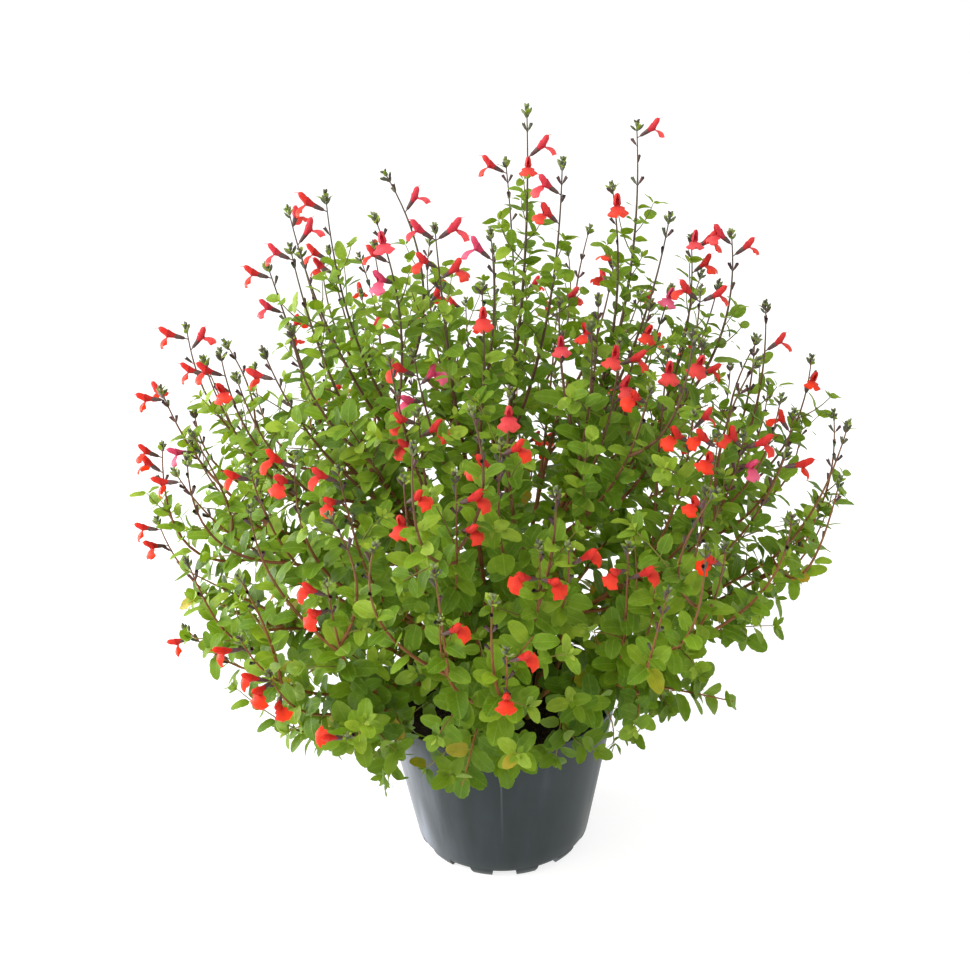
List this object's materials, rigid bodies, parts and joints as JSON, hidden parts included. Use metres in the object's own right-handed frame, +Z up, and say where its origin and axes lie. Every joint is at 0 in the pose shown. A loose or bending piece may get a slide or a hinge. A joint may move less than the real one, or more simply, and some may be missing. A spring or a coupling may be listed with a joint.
{
  "type": "potted baby sage",
  "caption": "Bushy red-flowered baby sage in a tapered plastic nursery pot; many leafy stems rise from the soil and end in two-lipped red flowers",
  "frame": {"origin": "Middle of the pot's ring of feet, at the height of the ground that the feet rest on.", "axes": "+Z is up. -Y is the front, the side that the picture shows. +X is to the right as seen from the front."},
  "size_m": [0.6126, 0.5538, 0.652],
  "materials": {
    "pot_plastic": "satin",
    "potting_soil": "rough",
    "leaves_and_stems": "matte",
    "petals": "matte"
  },
  "bodies": {
    "root": {"pot": "pot_plastic", "soil": "potting_soil", "stem_back_left_low": "leaves_and_stems", "stem_back_left_mid": "leaves_and_stems", "stem_back_left_top": "leaves_and_stems", "stem_back_low": "leaves_and_stems", "stem_back_mid": "leaves_and_stems", "stem_back_right_low": "leaves_and_stems", "stem_back_right_mid": "leaves_and_stems", "stem_back_right_top": "leaves_and_stems", "stem_front_left_low": "leaves_and_stems", "stem_front_left_mid": "leaves_and_stems", "stem_front_left_top": "leaves_and_stems", "stem_front_low": "leaves_and_stems", "stem_front_mid_left": "leaves_and_stems", "stem_front_mid_right": "leaves_and_stems", "stem_front_right_low": "leaves_and_stems", "stem_front_right_mid": "leaves_and_stems", "stem_front_right_top": "leaves_and_stems", "stem_left_high": "leaves_and_stems", "stem_left_low": "leaves_and_stems", "stem_left_mid": "leaves_and_stems", "stem_left_top": "leaves_and_stems", "stem_mid_left": "leaves_and_stems", "stem_middle": "leaves_and_stems", "stem_right_high": "leaves_and_stems", "stem_right_low": "leaves_and_stems", "stem_right_mid": "leaves_and_stems", "stem_right_top": "leaves_and_stems", "bloom_01": "petals", "bloom_02": "petals", "bloom_03": "petals", "bloom_04": "petals", "bloom_05": "petals", "bloom_06": "petals", "bloom_07": "petals", "bloom_08": "petals", "bloom_09": "petals", "bloom_10": "petals", "bloom_11": "petals", "bloom_12": "petals", "bloom_13": "petals", "bloom_14": "petals", "bloom_15": "petals", "bloom_16": "petals", "bloom_17": "petals", "bloom_18": "petals", "bloom_19": "petals", "bloom_20": "petals", "bloom_21": "petals", "bloom_22": "petals", "bloom_23": "petals", "bloom_24": "petals", "bloom_25": "petals", "bloom_26": "petals", "bloom_27": "petals", "bloom_28": "petals", "bloom_29": "petals"}
  },
  "joints": []
}
